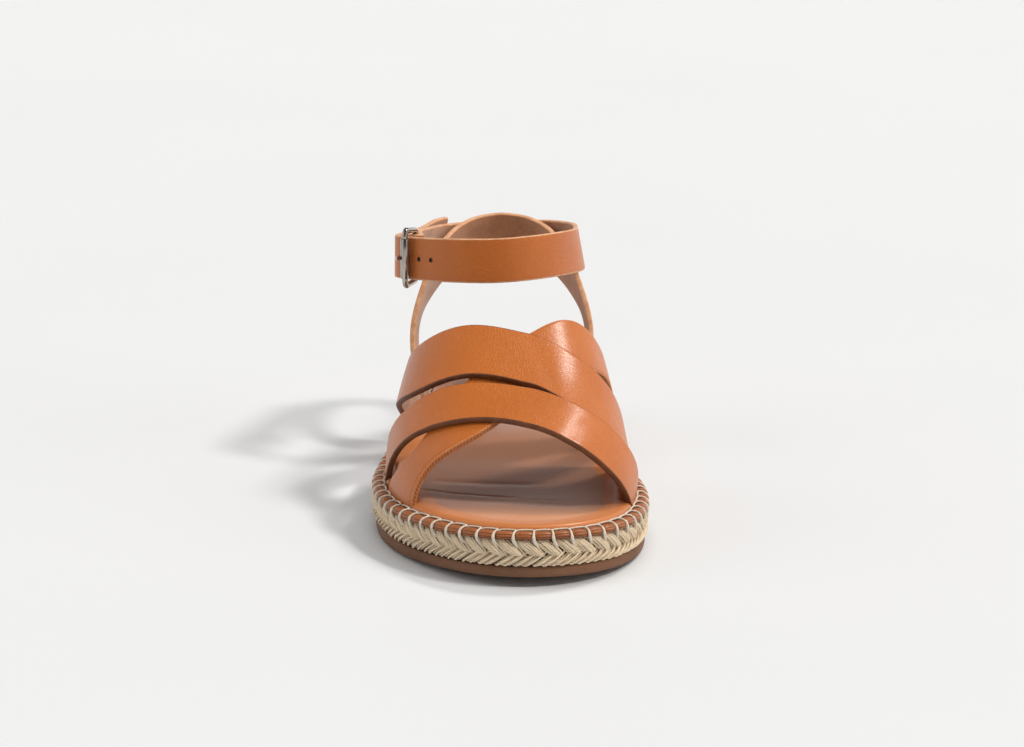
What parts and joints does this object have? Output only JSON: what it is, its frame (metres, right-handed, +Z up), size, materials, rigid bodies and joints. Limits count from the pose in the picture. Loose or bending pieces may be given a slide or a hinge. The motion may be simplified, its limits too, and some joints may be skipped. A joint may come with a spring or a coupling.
{
  "type": "leather sandal",
  "caption": "Open leather sandal for the right foot: crossing vamp straps, a heel strap and a buckled ankle strap on a flat sole edged with plaited rope.",
  "frame": {"origin": "middle of the sandal's bounding box, on the floor it stands on", "axes": "+Z up, the toe points along -Y and the heel along +Y, +X is the medial side of the foot"},
  "size_m": [0.0981, 0.242, 0.093],
  "materials": {
    "outsole_rubber": "matt dark brown",
    "plaited_rope": "natural plant fibre, undyed",
    "welt_leather": "reddish brown, satin",
    "footbed_leather": "smooth tan, satin",
    "strap_leather": "fine-grained tan, satin",
    "buckle_metal": "polished nickel plate"
  },
  "bodies": {
    "root": {"outsole": "outsole_rubber", "rope_band": "plaited_rope", "welt": "welt_leather", "insole": "footbed_leather", "vamp_straps": "strap_leather", "heel_strap": "strap_leather", "ankle_strap": "strap_leather", "buckle_frame": "buckle_metal", "buckle_prong": "buckle_metal", "buckle_roller": "buckle_metal"}
  },
  "joints": []
}
